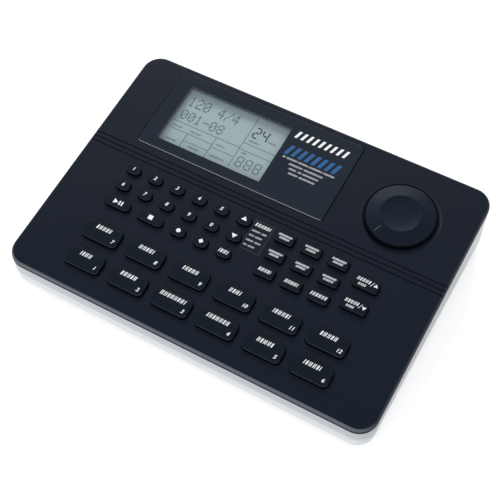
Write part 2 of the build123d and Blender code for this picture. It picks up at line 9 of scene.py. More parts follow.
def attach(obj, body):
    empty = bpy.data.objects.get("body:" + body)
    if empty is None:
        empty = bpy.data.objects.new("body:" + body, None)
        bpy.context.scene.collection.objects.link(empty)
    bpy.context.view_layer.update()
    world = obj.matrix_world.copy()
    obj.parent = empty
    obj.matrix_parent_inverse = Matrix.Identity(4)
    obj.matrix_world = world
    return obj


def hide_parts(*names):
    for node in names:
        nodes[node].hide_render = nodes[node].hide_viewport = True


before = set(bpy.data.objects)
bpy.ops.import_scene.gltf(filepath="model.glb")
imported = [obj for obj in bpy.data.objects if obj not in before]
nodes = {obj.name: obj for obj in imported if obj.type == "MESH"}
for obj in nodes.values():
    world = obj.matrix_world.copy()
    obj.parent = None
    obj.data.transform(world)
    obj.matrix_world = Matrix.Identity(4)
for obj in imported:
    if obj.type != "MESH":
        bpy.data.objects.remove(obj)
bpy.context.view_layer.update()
bpy.ops.object.select_all(action="DESELECT")

MM = 0.001
TO_METRES = Matrix.Scale(MM, 4)

# The sloping panel: across to the right, back up the slope, and up along its normal, in millimetres
PANEL_SLOPE = radians(6.8)
CASE_DEPTH = 165.5
FRONT_HEIGHT = 21.5
SLOPED = Matrix.Translation((0, -CASE_DEPTH / 2, FRONT_HEIGHT)) @ Matrix.Rotation(PANEL_SLOPE, 4, "X")
SLOPED_BACK = SLOPED.inverted()
PANEL = TO_METRES @ SLOPED
PANEL_UP = Vector((0, -sin(PANEL_SLOPE), cos(PANEL_SLOPE)))

# Caps: rise over the panel, flange and post under it
CAP_RISE = 2.0
FLANGE_TOP = -2.55
FLANGE_THICKNESS = 1.0
FLANGE_MARGIN = 1.0
POST_LENGTH = 0.7
POST_SHARE = 0.35

# Printing: the thickness of the ink, and a lean like that of italic figures
INK = 0.04
LEAN = 0.22

# How far a cutter runs past what it cuts, and a piece sinks into its neighbour, and a small slack
OVER = 2.0
SINK = 0.2
SLACK = 0.1

# How near a place has to be, in millimetres, how far up a flat face looks, and a wall at most
NEAR = 0.01
FLAT = 0.99
STEEP = 0.5


# ---- finishes

# Nearly all of the noise lies between these values
NOISE_LOW = 0.3
NOISE_HIGH = 0.7

# Scale and detail of the slow change of gloss and of the smears on the lens
SLOW_CHANGE = (25.0, 3.0)
SMEARS = (60.0, 4.0)
GLOSS_CHANGE = 0.04

# Drawn metal: the scales of its scratches, and how deep they are in millimetres
SCRATCHES = (400.0, 6000.0, 6000.0)
SCRATCH_DEPTH = 0.004

# The clear lens: its share of gloss from straight on and at a shallow angle, and the gloss itself
LENS_GLOSS = (0.010, 0.25)
LENS_GLOSS_POWER = 5.0
LENS_GLOSS_COLOUR = (0.82, 0.92, 1.0, 1)
LENS_ROUGHNESS = (0.18, 0.26)


# The frame has plain materials with some of the same names, so each finish is kept here by its name
finishes = {}


def new_finish(name):
    """The tree of a new material, with the shader that every finish starts from."""
    finishes[name] = bpy.data.materials.new(name)
    finishes[name].use_nodes = True
    tree = finishes[name].node_tree
    return tree, tree.nodes["Principled BSDF"]


def feed(tree, node, inputs):
    """Sets a node's inputs: another node's output is linked, and a number or a colour is set as it is."""
    for name, value in inputs.items():
        if isinstance(value, bpy.types.NodeSocket):
            tree.links.new(value, node.inputs[name])
        else:
            node.inputs[name].default_value = value


def add(tree, kind, inputs, **settings):
    """Adds a node with its settings and its inputs, and gives its outputs."""
    node = tree.nodes.new("ShaderNode" + kind)
    for name, value in settings.items():
        setattr(node, name, value)
    feed(tree, node, inputs)
    return node.outputs


def own_place(tree):
    """The place of a point in the piece's own space."""
    return add(tree, "TexCoord", {})["Object"]


def grain(tree, scale, detail=2.0):
    """Fine noise in the piece's own space."""
    return add(tree, "TexNoise", {"Vector": own_place(tree), "Scale": scale, "Detail": detail})["Fac"]


def spread(tree, source, low, high):
    """Noise stretched to a range of values."""
    ends = {"From Min": NOISE_LOW, "From Max": NOISE_HIGH, "To Min": low, "To Max": high}
    return add(tree, "MapRange", {"Value": source, **ends})["Result"]


def along(tree, axis, first, last):
    """A share that grows from 0 to 1 between two places, in millimetres, on an axis of the piece."""
    reach = add(tree, "SeparateXYZ", {"Vector": own_place(tree)})[axis]
    return add(tree, "MapRange", {"Value": reach, "From Min": first * MM, "From Max": last * MM})["Result"]


def blend(tree, share, first, last):
    """A colour that turns into another as the share grows from 0 to 1."""
    return add(tree, "Mix", {"Factor": share, "A": first, "B": last}, data_type="RGBA")["Result"]


def speckled(tree, source, colour, darkest, lightest):
    """A colour that noise makes a little darker and lighter."""
    dark, light = ((*(part * share for part in colour), 1) for share in (darkest, lightest))
    return blend(tree, source, dark, light)


def relief(tree, source, depth):
    """Fine relief from noise, to a depth in millimetres."""
    return add(tree, "Bump", {"Height": source, "Distance": depth * MM})["Normal"]


def moulded(name, colour, roughness, gloss, scale, depth, change=0.12, tint=(1, 1, 1), turning=None):
    """Moulded plastic, rubber or paint: its grain's scale and depth, and how much its colour changes.

    A finish that is turning says along which axis, from where to where, and into which other colour.
    """
    tree, shader = new_finish(name)
    fine = grain(tree, scale)
    base = speckled(tree, fine, colour, 1 - change, 1 + change)
    if turning:
        axis, first, last, other = turning
        behind = speckled(tree, fine, other, 1 - change, 1 + change)
        base = blend(tree, along(tree, axis, first, last), base, behind)
    slow = grain(tree, *SLOW_CHANGE)
    inputs = {
        "Base Color": base,
        "Roughness": spread(tree, slow, roughness - GLOSS_CHANGE, roughness + GLOSS_CHANGE),
        "Specular IOR Level": gloss,
        "Specular Tint": (*tint, 1),
        "Normal": relief(tree, fine, depth),
    }
    feed(tree, shader, inputs)


def ink(name, colour, gloss=0.2, scale=9000, change=0.03):
    """Printing ink, or the dark of the display."""
    moulded(name, colour, 0.5, gloss, scale, 0.004, change)


def plated(name, colour, roughness):
    """Plated metal with fine drawn scratches along X."""
    tree, shader = new_finish(name)
    drawn = add(tree, "Mapping", {"Vector": own_place(tree), "Scale": SCRATCHES})["Vector"]
    scratches = add(tree, "TexNoise", {"Vector": drawn, "Scale": 1.0})["Fac"]
    inputs = {
        "Base Color": speckled(tree, scratches, colour, 0.9, 1),
        "Roughness": spread(tree, scratches, roughness - 0.06, roughness + 0.08),
        "Metallic": 1.0,
        "Normal": relief(tree, scratches, SCRATCH_DEPTH),
    }
    feed(tree, shader, inputs)


def show(tree, output, surface):
    """Makes a shader the one that is seen."""
    tree.links.new(surface, tree.nodes[output].inputs["Surface"])


def clear_lens(name):
    """Clear acrylic: see-through, with a reflection that grows at shallow angles, and faint smears."""
    tree, shader = new_finish(name)
    tree.nodes.remove(shader)
    facing = add(tree, "LayerWeight", {"Blend": 0.5})["Facing"]
    steep = add(tree, "Math", {0: facing, 1: LENS_GLOSS_POWER}, operation="POWER")["Value"]
    low, high = LENS_GLOSS
    share = add(tree, "MapRange", {"Value": steep, "To Min": low, "To Max": high})["Result"]
    see_through = add(tree, "BsdfTransparent", {})["BSDF"]
    roughness = spread(tree, grain(tree, *SMEARS), *LENS_ROUGHNESS)
    gloss = add(tree, "BsdfGlossy", {"Color": LENS_GLOSS_COLOUR, "Roughness": roughness})["BSDF"]
    show(tree, "Material Output", add(tree, "MixShader", {"Fac": share, 1: see_through, 2: gloss})["Shader"])


# Colour, roughness, strength of gloss, scale and depth of the grain, and change of colour
moulded("panel_black", (0.0048, 0.0084, 0.0165), 0.46, 0.07, 5000, 0.02)
# Painted sheen: a lighter copy of the panel's finish for the well's sloping rim
moulded("well_rim_painted_sheen", (0.0110, 0.0165, 0.0270), 0.38, 0.16, 6000, 0.01)
moulded("key_black", (0.0040, 0.0077, 0.0140), 0.42, 0.055, 7000, 0.01)
# Painted highlight on the forward-facing rounded edges of the caps
moulded("key_edge_painted_highlight", (0.0090, 0.0142, 0.0230), 0.36, 0.16, 7000, 0.002, 0.06)
# Painted shade: the caps' steep sides in near black
moulded("key_side_painted_shade", (0.0009, 0.0013, 0.0021), 0.55, 0.02, 7000, 0.002, 0.06)
# Painted shade: a near-black ring standing for the shadowed gap round the dial
moulded("dial_foot_painted_shade", (0.0010, 0.0014, 0.0022), 0.50, 0.02, 6000, 0.002, 0.06)
moulded("lens_dark", (0.0085, 0.0140, 0.0235), 0.16, 0.14, 60, 0.002, 0.06)
# Painted highlight along the lens's front bevel
moulded("lens_edge_painted_highlight", (0.200, 0.215, 0.240), 0.20, 1.0, 60, 0.002, 0.06)
moulded("window_grey", (0.030, 0.042, 0.056), 0.60, 0.05, 3000, 0.01)
moulded("frame_grey", (0.110, 0.140, 0.165), 0.55, 0.1, 3000, 0.02)
moulded("frame_black", (0.012, 0.012, 0.013), 0.55, 0.35, 3000, 0.02)
moulded("socket_black", (0.014, 0.014, 0.015), 0.45, 0.4, 4000, 0.01)
moulded("rubber_black", (0.020, 0.020, 0.021), 0.8, 0.3, 3000, 0.04)
moulded("silicone_grey", (0.42, 0.42, 0.42), 0.65, 0.4, 2500, 0.02, 0.05)
moulded("ribbon_grey", (0.36, 0.36, 0.38), 0.5, 0.4, 1200, 0.02, 0.06)
moulded("board_green", (0.02, 0.12, 0.06), 0.35, 0.5, 1500, 0.01)
moulded("lcd_face", (0.285, 0.362, 0.378), 0.35, 0.2, 1500, 0.004, 0.03)

# The dial's reflections are tinted cool: a painted blue cast on its gloss
COOL_REFLECTION_TINT = (0.66, 0.82, 1.0)
moulded("dial_black", (0.0062, 0.0097, 0.0168), 0.46, 0.075, 6000, 0.01, tint=COOL_REFLECTION_TINT)

# The panel's rim carries a painted highlight: light along the front, and plain dark from its corners on
RIM_SIDE = ("Y", -CASE_DEPTH / 2, -72.5, (0.0110, 0.0155, 0.0240))
RIM_FRONT_HIGHLIGHT = (0.0870, 0.1010, 0.1200)
moulded("panel_rim_painted_highlight", RIM_FRONT_HIGHLIGHT, 0.36, 0.3, 5000, 0.01, 0.05, turning=RIM_SIDE)

# The silver paint is painted paler towards the foot of the walls, on the band that turns in there: painted
# light bounced up from the white floor
SILVER_WALL = ("Z", 8.5, 12.5, (0.476, 0.490, 0.517))
SILVER_FOOT_PAINTED_BOUNCE = (0.74, 0.75, 0.765)
moulded("shell_silver", SILVER_FOOT_PAINTED_BOUNCE, 0.36, 0.5, 9000, 0.006, 0.05, turning=SILVER_WALL)

ink("print_white", (0.78, 0.79, 0.80), 0.3)
ink("print_pale", (0.58, 0.595, 0.615))
ink("print_blue", (0.012, 0.092, 0.245))
ink("print_grey", (0.040, 0.046, 0.056))
ink("pointer_grey", (0.075, 0.084, 0.096))
ink("lcd_ink", (0.085, 0.125, 0.135), scale=4000, change=0.05)
ink("lcd_dark_ink", (0.026, 0.036, 0.042), scale=4000, change=0.05)
plated("screw_steel", (0.62, 0.62, 0.63), 0.3)
plated("metal_grey", (0.50, 0.50, 0.51), 0.28)
clear_lens("lens_clear")

# The nodes that stay as the CAD has them
NODE_FINISH = {
    # The silver finish is painted paler towards the foot, as floor bounce
    "bottom_shell": "shell_silver",
    "key_mat": "silicone_grey",
    "key_board": "board_green",
    "lcd_frame": "frame_grey",
    "lcd_glass": "lcd_face",
    "volume_pot": "metal_grey",
    "pot_shaft": "metal_grey",
    "main_board": "board_green",
    "board_components": "frame_black",
    "power_switch_body": "socket_black",
    "ribbon_cable": "ribbon_grey",
}


# ---- work on a piece


def leave_mesh():
    """Ends the work on a piece's mesh."""
    bpy.ops.object.mode_set(mode="OBJECT")


def pick(piece, kind, test):
    """Selects the faces or edges of a piece that pass a test, and nothing else."""
    mode = {"faces": "FACE", "edges": "EDGE"}[kind]
    bpy.ops.object.mode_set(mode="EDIT")
    bpy.ops.mesh.select_mode(type=mode)
    bpy.ops.mesh.select_all(action="DESELECT")
    leave_mesh()
    for item in {"faces": piece.data.polygons, "edges": piece.data.edges}[kind]:
        item.select = test(item)
    bpy.ops.object.mode_set(mode="EDIT")


def edge_ends(piece, edge):
    """The two ends of an edge."""
    return [piece.data.vertices[corner].co for corner in edge.vertices]


def level_face(height, facing):
    """A test for flat faces at one height that look up (1) or down (-1)."""

    def test(face):
        return face.normal.z * facing > FLAT and abs(face.center.z - height) < NEAR

    return test


def new_block(name, size, low, high, place=(0, 0)):
    """A block over a place, from one height to another, in millimetres."""
    select()
    middle = (*place, (low + high) / 2)
    bpy.ops.mesh.primitive_cube_add(size=1, location=middle, scale=(*size, high - low))
    return settle(name)


def new_disc(name, radius, low, high, corners=96, place=(0, 0)):
    """An upright disc over a place, from one height to another, in millimetres."""
    select()
    middle = (*place, (low + high) / 2)
    bpy.ops.mesh.primitive_cylinder_add(vertices=corners, radius=radius, depth=high - low, location=middle)
    return settle(name)


def settle(name):
    """Names the new piece and puts its place into its mesh."""
    piece = bpy.context.object
    piece.name = name
    bpy.ops.object.transform_apply(location=True, rotation=True, scale=True)
    return piece


def round_edges(piece, kind, test, width, steps):
    """Rounds the picked edges, or the edges round the picked faces."""
    pick(piece, kind, test)
    bpy.ops.mesh.bevel(offset=width, segments=steps, affect="EDGES", clamp_overlap=True)
    leave_mesh()


def round_corners(piece, radius, steps):
    """Rounds the upright edges of a block."""

    def upright(edge):
        first, last = edge_ends(piece, edge)
        return (first - last).xy.length < NEAR < abs(first.z - last.z)

    round_edges(piece, "edges", upright, radius, steps)


def push(height, scale_across=1.0, scale_back=1.0, centre=(0, 0)):
    """Pulls the picked face up or down by a height, and widens or narrows it there."""
    bpy.ops.mesh.extrude_region_move(TRANSFORM_OT_translate={"value": (0, 0, height)})
    if (scale_across, scale_back) != (1.0, 1.0):
        bpy.ops.transform.resize(value=(scale_across, scale_back, 1), center_override=(*centre, 0))


def smooth(piece, angle=30.0):
    """Shades a piece smooth, apart from its sharp edges, with its broad faces flat."""
    select(piece)
    bpy.ops.object.shade_smooth_by_angle(angle=radians(angle))
    modifier = piece.modifiers.new("normals", "WEIGHTED_NORMAL")
    modifier.keep_sharp = True
    bpy.ops.object.modifier_apply(modifier=modifier.name)


def select(*pieces):
    """Selects these pieces alone, with the first one active."""
    bpy.ops.object.select_all(action="DESELECT")
    for piece in pieces:
        piece.select_set(True)
    if pieces:
        bpy.context.view_layer.objects.active = pieces[0]


def paint(piece, *names):
    """Gives a piece its finishes by name: the first one all over, and the others for single faces."""
    piece.data.materials.clear()
    for name in names:
        piece.data.materials.append(finishes[name])


def into_scene(name, data):
    """A new object in the scene, with its mesh, lamp or camera."""
    newcomer = bpy.data.objects.new(name, data)
    bpy.context.scene.collection.objects.link(newcomer)
    return newcomer


def copy_of(master, name, place):
    """A copy with its own mesh, put in its place."""
    piece = into_scene(name, master.data.copy())
    piece.data.transform(place)
    return piece


def joined(name, pieces):
    """Several pieces as one."""
    select(*pieces)
    bpy.ops.object.join()
    piece = bpy.context.object
    piece.name = name
    return piece


def cut(piece, cutter):
    """Cuts the cutter's shape out of a piece, and removes the cutter."""
    select(piece)
    modifier = piece.modifiers.new("cut", "BOOLEAN")
    modifier.operation = "DIFFERENCE"
    modifier.solver = "EXACT"
    modifier.object = cutter
    bpy.ops.object.modifier_apply(modifier=modifier.name)
    bpy.data.objects.remove(cutter)


TUBE_EDGE = 0.25


def tube(name, outer, inner, low, high, corners=48, finish="metal_grey"):
    """An upright ring with a soft outer edge at its top."""
    ring = new_disc(name, outer, low, high, corners)
    round_edges(ring, "faces", level_face(high, 1), TUBE_EDGE, 2)
    cut(ring, new_disc("bore", inner, low - OVER, high + OVER, 48))
    paint(ring, finish)
    smooth(ring)
    return ring


def slice_off(piece, depth, keep_above):
    """Cuts a piece flat along a plane at a depth under the panel's face, and closes the cut."""
    select(piece)
    bpy.ops.object.mode_set(mode="EDIT")
    bpy.ops.mesh.select_all(action="SELECT")
    bpy.ops.mesh.bisect(
        plane_co=SLOPED @ Vector((0, 0, -depth)),
        plane_no=PANEL_UP,
        use_fill=True,
        clear_inner=keep_above,
        clear_outer=not keep_above,
    )
    leave_mesh()


def sloping_face(depth, facing):
    """A test for faces along the panel at one depth that look out of it (1) or into it (-1)."""

    def test(face):
        return face.normal.dot(PANEL_UP) * facing > FLAT and abs((SLOPED_BACK @ face.center).z + depth) < NEAR

    return test


def carry(piece, place, body, slot, *replaced):
    """Puts a piece in its place on its body, and hides the nodes it stands for. The slot of its finish is not
    used.
    """
    piece.data.transform(place)
    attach(piece, body)
    if replaced:
        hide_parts(*replaced)


for node_name, finish in NODE_FINISH.items():
    paint(nodes[node_name], finish)


# ---- printing

# Flat shapes: corners and radius for a shape that is a millimetre high
POLYGONS = {"triangle": (3, 2 / 3), "diamond": (4, 0.5), "disc": (24, 0.5)}

# Figures: how much bolder they are than the plain font, and their width for their height
FIGURE_WEIGHT = 0.022
FIGURE_WIDTH = 0.98

# Each stroke of a word: its width and the gap after it, as shares of its length
STROKES = ((0.19, 0.17), (0.19, 0.30), (0.36, 0.29), (0.18, 0.16), (0.25, 0.32))
LEAST_STROKE = 0.12
WORD_GAP = 0.75

masters = {}


def shape_master(kind):
    """One printed shape, a millimetre high and a millimetre thick, modelled once."""
    if kind not in masters:
        if kind == "bar":
            masters[kind] = new_block("print_bar", (1, 1), -0.5, 0.5)
        elif kind in POLYGONS:
            corners, radius = POLYGONS[kind]
            masters[kind] = new_disc("print_" + kind, radius, -0.5, 0.5, corners)
        else:
            masters[kind] = figure_master(kind)
    return masters[kind]


def figure_master(figures):
    """A number in the plain font, centred."""
    select()
    bpy.ops.object.text_add()
    text = bpy.context.object.data
    text.body = figures
    text.resolution_u = 3
    text.extrude = 0.5
    text.offset = FIGURE_WEIGHT
    bpy.ops.object.convert(target="MESH")
    piece = bpy.context.object
    piece.name = "print_figure_" + figures
    low = Vector(map(min, *(v.co for v in piece.data.vertices)))
    high = Vector(map(max, *(v.co for v in piece.data.vertices)))
    share = 1 / (high.y - low.y)
    piece.data.transform(Matrix.Diagonal((share, share, 1, 1)) @ Matrix.Translation(-(low + high) / 2))
    select(piece)
    bpy.ops.object.mode_set(mode="EDIT")
    bpy.ops.mesh.select_all(action="SELECT")
    bpy.ops.mesh.remove_doubles(threshold=0.0001)
    leave_mesh()
    return piece


def printed(kind, across, back, width, length, height, lean=LEAN, turn=0.0, finish="print_white"):
    """One printed shape on a surface at a height, in the millimetres of the panel or of a cap."""
    slant = Matrix.Identity(4)
    slant[0][1] = lean
    place = (
        Matrix.Translation((across, back, height))
        @ slant
        @ Matrix.Diagonal((width, length, INK, 1))
        @ Matrix.Rotation(radians(turn), 4, "Z")
    )
    piece = copy_of(shape_master(kind), "print", place)
    paint(piece, finish)
    return piece


def word(across, back, width, length, height=CAP_RISE, finish="print_white", start=0):
    """A row of leaning strokes that stands where a word would be."""
    strokes = []
    reach = 0.0
    number = start
    while reach < width:
        stroke, gap = STROKES[number % len(STROKES)]
        strokes.append((reach, min(stroke * length, width - reach)))
        reach += (stroke + gap) * length
        number += 1
    if strokes[-1][1] < LEAST_STROKE * length:
        strokes.pop()
    return [
        printed("bar", across - width / 2 + left + size / 2, back, size, length, height, finish=finish)
        for left, size in strokes
    ]


def pale_words(left, back, widths, length, height):
    """Fine pale words in a row from the left, with wider gaps between them."""
    marks = []
    for number, width in enumerate(widths):
        marks += word(left + width / 2, back, width, length, height, "print_pale", number)
        left += width + WORD_GAP * length
    return marks


# ---- keys and pads

# Each kind of cap: its width, length, corner and edge radius
CAP_SIZES = {
    "pad": (23.6, 11.8, 3.0, 0.7),
    "oval": (9.4, 6.4, 3.1, 0.55),
    "bar": (17.1, 6.4, 3.1, 0.55),
    "function": (11.8, 7.0, 1.0, 0.5),
    "page": (15.0, 7.2, 1.0, 0.5),
}
CORNER_STEPS = 8
EDGE_STEPS = 4
CAP_SMOOTH = 35.0

# A cap's rounded edge ends where it looks this far up, and carries a painted highlight where it looks this
# far forward
EDGE_TOP = 0.97
EDGE_FORWARD = -0.05

# Widths of the words on the pads, and on the keys that carry only one
PAD_WORDS = (7.2, 10.4, 16.4, 14.6, 9.7, 10.8, 9.6, 9.8, 9.8, 7.8, 10.6, 10.3)
FUNCTION_WORDS = {7: 7.4, 8: 8.5, 9: 10.0}


def key_places():
    """The middle of every key on the panel, in millimetres, from the frame's own solids."""
    to_panel = PANEL.inverted()
    places = {}
    for name in nodes:
        is_key = name.endswith("_key") or name.startswith(("pad_", "key_", "function_key_"))
        if is_key and name not in ("key_mat", "key_board"):
            points = [to_panel @ v.co for v in nodes[name].data.vertices]
            across = [p.x for p in points]
            back = [p.y for p in points]
            places[name] = ((min(across) + max(across)) / 2, (min(back) + max(back)) / 2)
    return places


def cap_master(name, width, length, corner, edge):
    """A cap with round corners and a soft top edge, and the flange and post that hold it under the panel."""
    cap = new_block(name, (width, length), FLANGE_TOP, CAP_RISE)
    round_corners(cap, corner, CORNER_STEPS)
    round_edges(cap, "faces", level_face(CAP_RISE, 1), edge, EDGE_STEPS)
    pick(cap, "faces", level_face(FLANGE_TOP, -1))
    push(0, (width + 2 * FLANGE_MARGIN) / width, (length + 2 * FLANGE_MARGIN) / length)
    push(-FLANGE_THICKNESS)
    push(0, POST_SHARE, POST_SHARE)
    push(-POST_LENGTH)
    leave_mesh()
    paint(cap, "key_black", "key_edge_painted_highlight", "key_side_painted_shade")
    for face in cap.data.polygons:
        if face.center.z > FLANGE_TOP + NEAR:
            # The steep sides carry the near-black painted shade
            if face.normal.z < STEEP:
                face.material_index = 2
            # The forward-facing rounded edge carries the painted highlight
            elif face.normal.z < EDGE_TOP and face.normal.y < EDGE_FORWARD:
                face.material_index = 1
    smooth(cap, CAP_SMOOTH)
    return cap


def key_kind(name):
    """Which cap a key has."""
    for kind in ("pad", "function", "page"):
        if name.startswith(kind):
            return kind
    return "bar" if name in ("play_key", "stop_key") else "oval"


def sign(kind, across, back, width, length, turn=0.0):
    """One upright sign on a key."""
    return printed(kind, across, back, width, length, CAP_RISE, lean=0, turn=turn)


def figure(text, across, back, length):
    """A plain number on a key, a little slanted."""
    return printed(text, across, back, length * FIGURE_WIDTH, length, CAP_RISE)


def legend(name):
    """What is printed on a key, from its middle: plain numbers and signs, and strokes for words."""
    kind = key_kind(name)
    number = name.split("_")[-1]
    turn = 180 if "down" in name else 0
    if kind == "pad":
        width = PAD_WORDS[int(number) - 1]
        return [*word(-0.5, 3.0, width, 2.7, start=int(number)), figure(number, 8.4, -2.2, 2.5)]
    if kind == "function":
        start = int(number)
        if start in FUNCTION_WORDS:
            return word(-0.3, 0.6, FUNCTION_WORDS[start], 2.3, start=start)
        upper = word(-0.2, 1.25, 8.6, 1.35, start=start)
        return upper + word(-0.2, -0.75, 6.0, 1.35, start=start + 2)
    if kind == "page":
        slash = printed("bar", 3.0, 1.2, 0.35, 3.0, CAP_RISE, lean=0.5)
        upper = word(-2.2, 1.7, 8.2, 2.2)
        lower = word(-2.2, -1.3, 4.6, 1.5, start=3)
        return [*upper, *lower, slash, sign("triangle", 5.3, 1.0, 2.3, 2.1, turn)]
    if name.startswith("key_"):
        return [figure(number, 0, 0.5, 2.5)]
    if name in ("up_key", "down_key"):
        return [sign("triangle", 0, 0.4, 3.2, 2.7, turn)]
    if name == "play_key":
        bars = [sign("bar", across, 0.5, 0.9, 2.9) for across in (1.1, 2.8)]
        return [sign("triangle", -1.9, 0.5, 2.9, 2.9, -90), *bars]
    signs = {"stop_key": ("bar", 2.9), "a_key": ("disc", 2.7), "b_key": ("diamond", 3.2)}
    if name in signs:
        shape, size = signs[name]
        return [sign(shape, 0, 0.5, size, size)]
    return word(0, 0.6, 6.0, 2.5, start=1)


CAPS = {kind: cap_master(kind + "_master", *sizes) for kind, sizes in CAP_SIZES.items()}
KEY_PLACES = key_places()
for key_name, key_place in KEY_PLACES.items():
    cap = copy_of(CAPS[key_kind(key_name)], "cap", Matrix.Identity(4))
    key = joined(key_name + "_cap", [cap, *legend(key_name)])
    carry(key, PANEL @ Matrix.Translation((*key_place, 0)), key_name, "key_black", key_name)
for master in CAPS.values():
    bpy.data.objects.remove(master)


# ---- top shell

CASE_WIDTH = 235.0
CASE_CORNER = 11.5
RIM = 1.5
SHELL_SMOOTH = 16.0
BLANK_HEIGHT = 60.0
SKIRT_WALL = 2.2
PANEL_THICKNESS = 2.4
SEAM_DEPTH = 3.3
KEY_GAP = 0.35
BOSS_SIDE = 7.0
BOSS_ACROSS = 101.0
SCREW_HOLE = 1.65
SCREW_HOLE_TOP = 3.0
SCREW_HOLE_LENGTH = 14.0
COLLAR_SIDE = 16.0
COLLAR_WALL = 2.0
COLLAR_DEPTH = 6.0
GROOVES = (92.9, 96.1, 99.3)
GROOVE_WIDTH = 1.0
GROOVE_DEPTH = 0.4
LENS_MIDDLE = (-28.15, 133.5)
LENS_SIZE = (126.5, 57.7)
LENS_CORNER = 2.5
LENS_UNDERSIDE = -1.5
LENS_GAP = 0.45
WINDOW_MIDDLE = (-45.9, 133.3)
WINDOW_SIZE = (71.3, 43.0)
WINDOW_MARGIN = 1.2
DIAL_PLACE = (74.3, 128.6)
WELL_RADIUS = 23.8
WELL_FLOOR_RADIUS = 21.5
WELL_DEPTH = 0.8
HUB_HOLE = 5.5

# The front and rear bosses: place up the slope, and depth
BOSSES = ((14.0, 6.35), (150.0, 7.95))

# The rim's faces, which carry the painted highlight, lean by more than the first share and less than the
# second
RIM_LEANS = (0.2, 0.985)


def wider(size, margin):
    """A width and a length with a margin all round."""
    return [side + 2 * margin for side in size]


def plate_of_case():
    """The case's outline under the panel's plane, with a soft rim, hollow from below."""
    shell = new_block("top_shell_cover", (CASE_WIDTH, CASE_DEPTH), 0, BLANK_HEIGHT)
    round_corners(shell, CASE_CORNER, 2 * CORNER_STEPS)
    slice_off(shell, 0, keep_above=False)
    round_edges(shell, "faces", sloping_face(0, 1), RIM, CORNER_STEPS)
    slice_off(shell, SEAM_DEPTH, keep_above=True)
    pick(shell, "faces", sloping_face(SEAM_DEPTH, -1))
    bpy.ops.mesh.inset(thickness=SKIRT_WALL)
    push((SEAM_DEPTH - PANEL_THICKNESS) / cos(PANEL_SLOPE))
    leave_mesh()
    paint(shell, "panel_black", "panel_rim_painted_highlight", "well_rim_painted_sheen", "window_grey")
    lowest, highest = RIM_LEANS
    # The rim's faces take the finish with the painted highlight
    for face in shell.data.polygons:
        if lowest < face.normal.dot(PANEL_UP) < highest:
            face.material_index = 1
    return shell


def opening(name, middle, size, corner, depth):
    """A cutter with round corners, from over the panel down to a depth under it."""
    cutter = new_block(name, size, -depth, OVER, middle)
    if corner:
        round_corners(cutter, corner, CORNER_STEPS)
    return cutter


def key_cutters():
    """An opening for each key, a gap wider than its cap all round."""
    cutters = []
    for kind, (width, length, corner, _) in CAP_SIZES.items():
        size = wider((width, length), KEY_GAP)
        master = opening("key_opening", (0, 0), size, corner + KEY_GAP, PANEL_THICKNESS + OVER)
        for name, place in KEY_PLACES.items():
            if key_kind(name) == kind:
                cutters.append(copy_of(master, "key_opening", Matrix.Translation((*place, 0))))
        bpy.data.objects.remove(master)
    return cutters


def well_cutter():
    """The dial's well, with a sloping rim."""
    cutter = new_disc("dial_well", WELL_RADIUS, 0, OVER, place=DIAL_PLACE)
    pick(cutter, "faces", level_face(0, -1))
    share = WELL_FLOOR_RADIUS / WELL_RADIUS
    push(-WELL_DEPTH, share, share, DIAL_PLACE)
    leave_mesh()
    return cutter


def boss(across, back, depth):
    """A square boss under the panel, upright, with its screw hole."""
    middle = SLOPED @ Vector((across, back, 0))
    post = new_block("boss", (BOSS_SIDE, BOSS_SIDE), 0, BLANK_HEIGHT, middle.xy)
    slice_off(post, PANEL_THICKNESS - SINK, keep_above=False)
    slice_off(post, depth, keep_above=True)
    top = middle.z - SCREW_HOLE_TOP
    cut(post, new_disc("screw_hole", SCREW_HOLE, top - SCREW_HOLE_LENGTH, top, 24, middle.xy))
    return post


def collar():
    """The square collar that carries the potentiometer."""
    inner = COLLAR_SIDE - 2 * COLLAR_WALL
    ring = new_block(
        "collar", (COLLAR_SIDE, COLLAR_SIDE), -COLLAR_DEPTH, SINK - PANEL_THICKNESS, DIAL_PLACE
    )
    cut(ring, new_block("collar_bore", (inner, inner), -COLLAR_DEPTH - OVER, OVER, DIAL_PLACE))
    ring.data.transform(SLOPED)
    return ring


def in_window(place):
    """Whether a place on the panel is inside the display's window or in the walls round it."""
    size = wider(WINDOW_SIZE, WINDOW_MARGIN + SLACK)
    return all(abs(a - b) < side / 2 for a, b, side in zip(place.xy, WINDOW_MIDDLE, size))


def in_well_rim(place):
    """Whether a place on the panel is on the sloping rim of the dial's well."""
    reach = (place.xy - Vector(DIAL_PLACE)).length
    return WELL_FLOOR_RADIUS < reach < WELL_RADIUS and -WELL_DEPTH + NEAR < place.z < -NEAR


